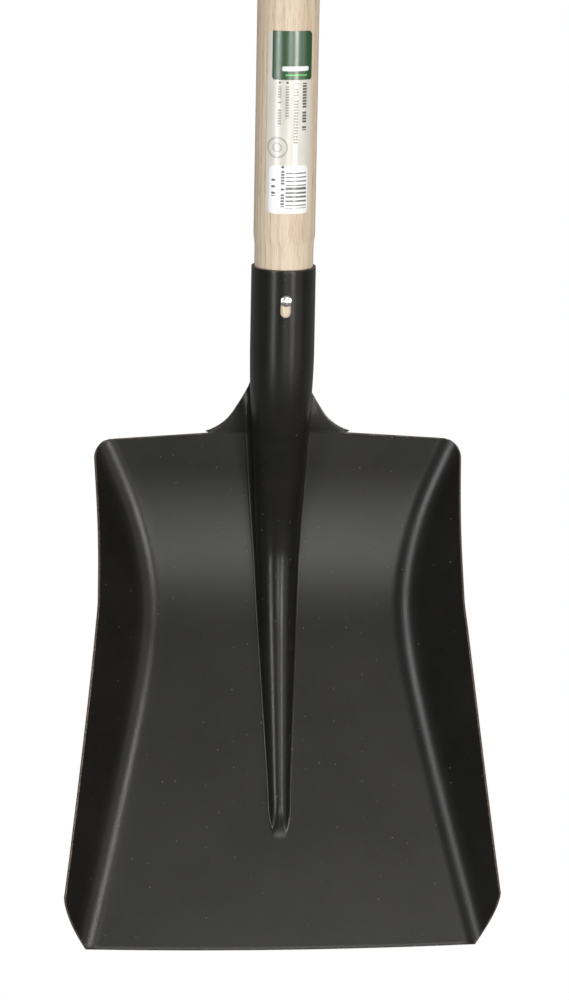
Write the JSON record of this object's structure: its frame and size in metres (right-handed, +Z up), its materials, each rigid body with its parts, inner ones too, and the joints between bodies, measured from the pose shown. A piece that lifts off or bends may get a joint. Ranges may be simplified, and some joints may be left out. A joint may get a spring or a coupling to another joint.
{
  "type": "scoop shovel",
  "caption": "Square-mouth scoop shovel with a pressed steel blade, raised side wings, a centre rib, a rolled socket, a wooden shaft and a moulded D-grip.",
  "frame": {"origin": "centre of the outline, on the surface that the shovel lies on", "axes": "+Y along the shaft from the blade tip to the D-grip, +Z up out of the open side of the blade, +X to the right seen from above with the tip towards the viewer"},
  "size_m": [0.2872, 1.1098, 0.0971],
  "materials": {
    "black_paint": "black semi-gloss paint over hardened steel, bare on the rubbed edges",
    "ash_wood": "pale ash, sanded and lightly waxed",
    "zinc": "bright zinc plating",
    "grip_plastic": "fine-grained black polypropylene",
    "label_film": "printed self-adhesive film"
  },
  "bodies": {
    "root": {"blade": "black_paint", "shaft": "ash_wood", "socket_screw": "zinc", "d_grip": "grip_plastic", "grip_screw_left": "zinc", "grip_screw_right": "zinc", "product_label": "label_film"}
  },
  "joints": []
}
